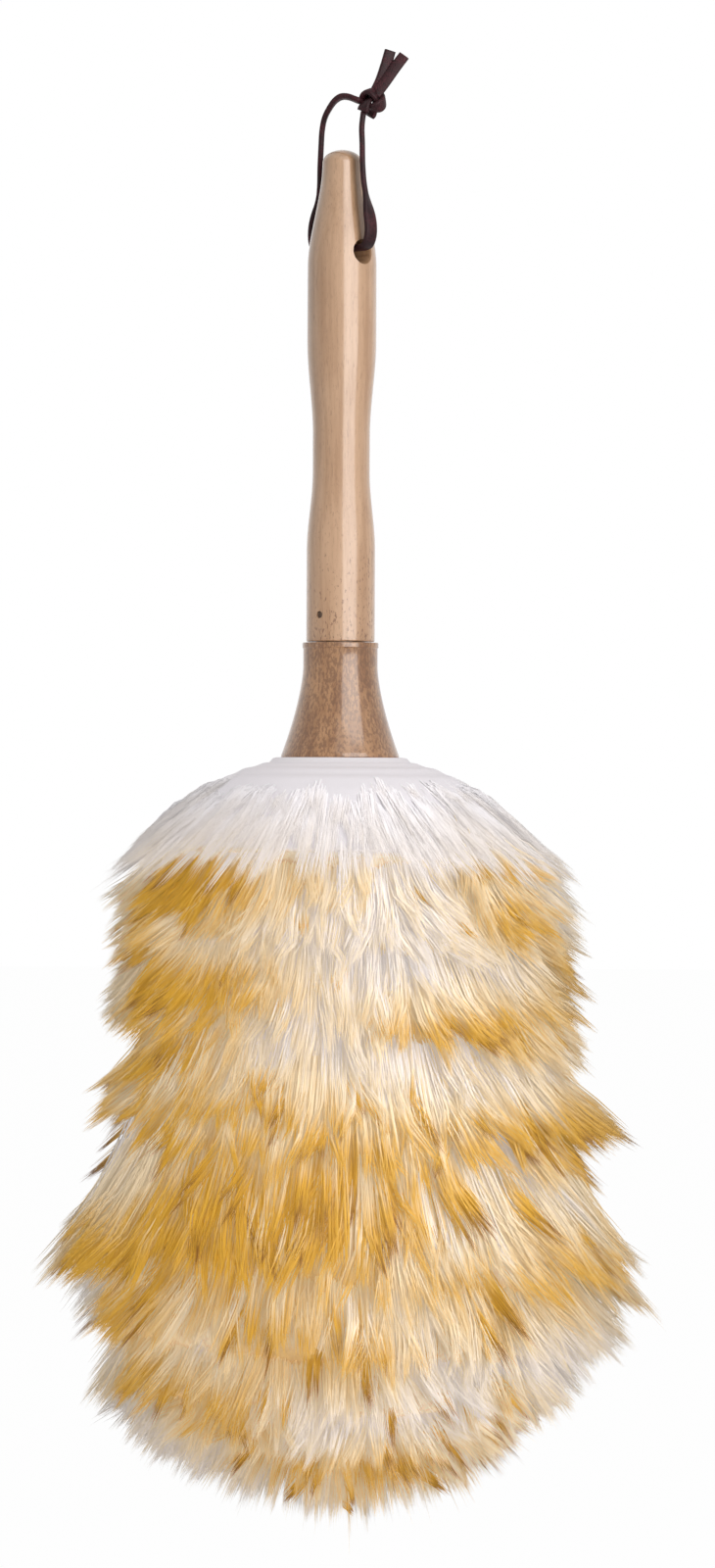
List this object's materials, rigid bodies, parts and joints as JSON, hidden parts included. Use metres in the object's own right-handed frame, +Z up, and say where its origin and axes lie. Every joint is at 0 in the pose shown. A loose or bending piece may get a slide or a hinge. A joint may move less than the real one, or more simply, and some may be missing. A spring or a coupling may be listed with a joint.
{
  "type": "lambswool duster",
  "caption": "Hand duster: a barrel-shaped head of lambswool wound on a rod, under a flared wooden ferrule and a turned handle that hangs from a knotted leather thong.",
  "frame": {"origin": "the hang point: the inner top of the leather thong's arch, where it rests on a peg or hook", "axes": "+Z up, away from the wool along the handle; +X along the cross hole through the handle's neck, which is the axis the duster swings about"},
  "size_m": [0.217, 0.2156, 0.5378],
  "materials": {
    "handle_beech": "satin",
    "ferrule_beech": "satin",
    "birch": "matte",
    "steel": "satin",
    "hide": "matte",
    "wool": "matte",
    "leather": "satin"
  },
  "bodies": {
    "thong": {"thong_loop": "leather", "thong_knot": "leather"},
    "duster": {"handle": "handle_beech", "ferrule": "ferrule_beech", "core_rod": "birch", "rod_brad": "steel", "hide_strip": "hide", "hide_patch": "hide", "top_tack": "steel", "end_tack": "steel", "patch_tack": "steel", "strip_wool": "wool", "patch_wool": "wool"}
  },
  "joints": [
    {"name": "handle_swing", "type": "hinge", "parent": "thong", "child": "duster", "pos_m": [0, 0, -0.0563], "axis": [1, 0, 0], "range_deg": [-150, 150]}
  ]
}
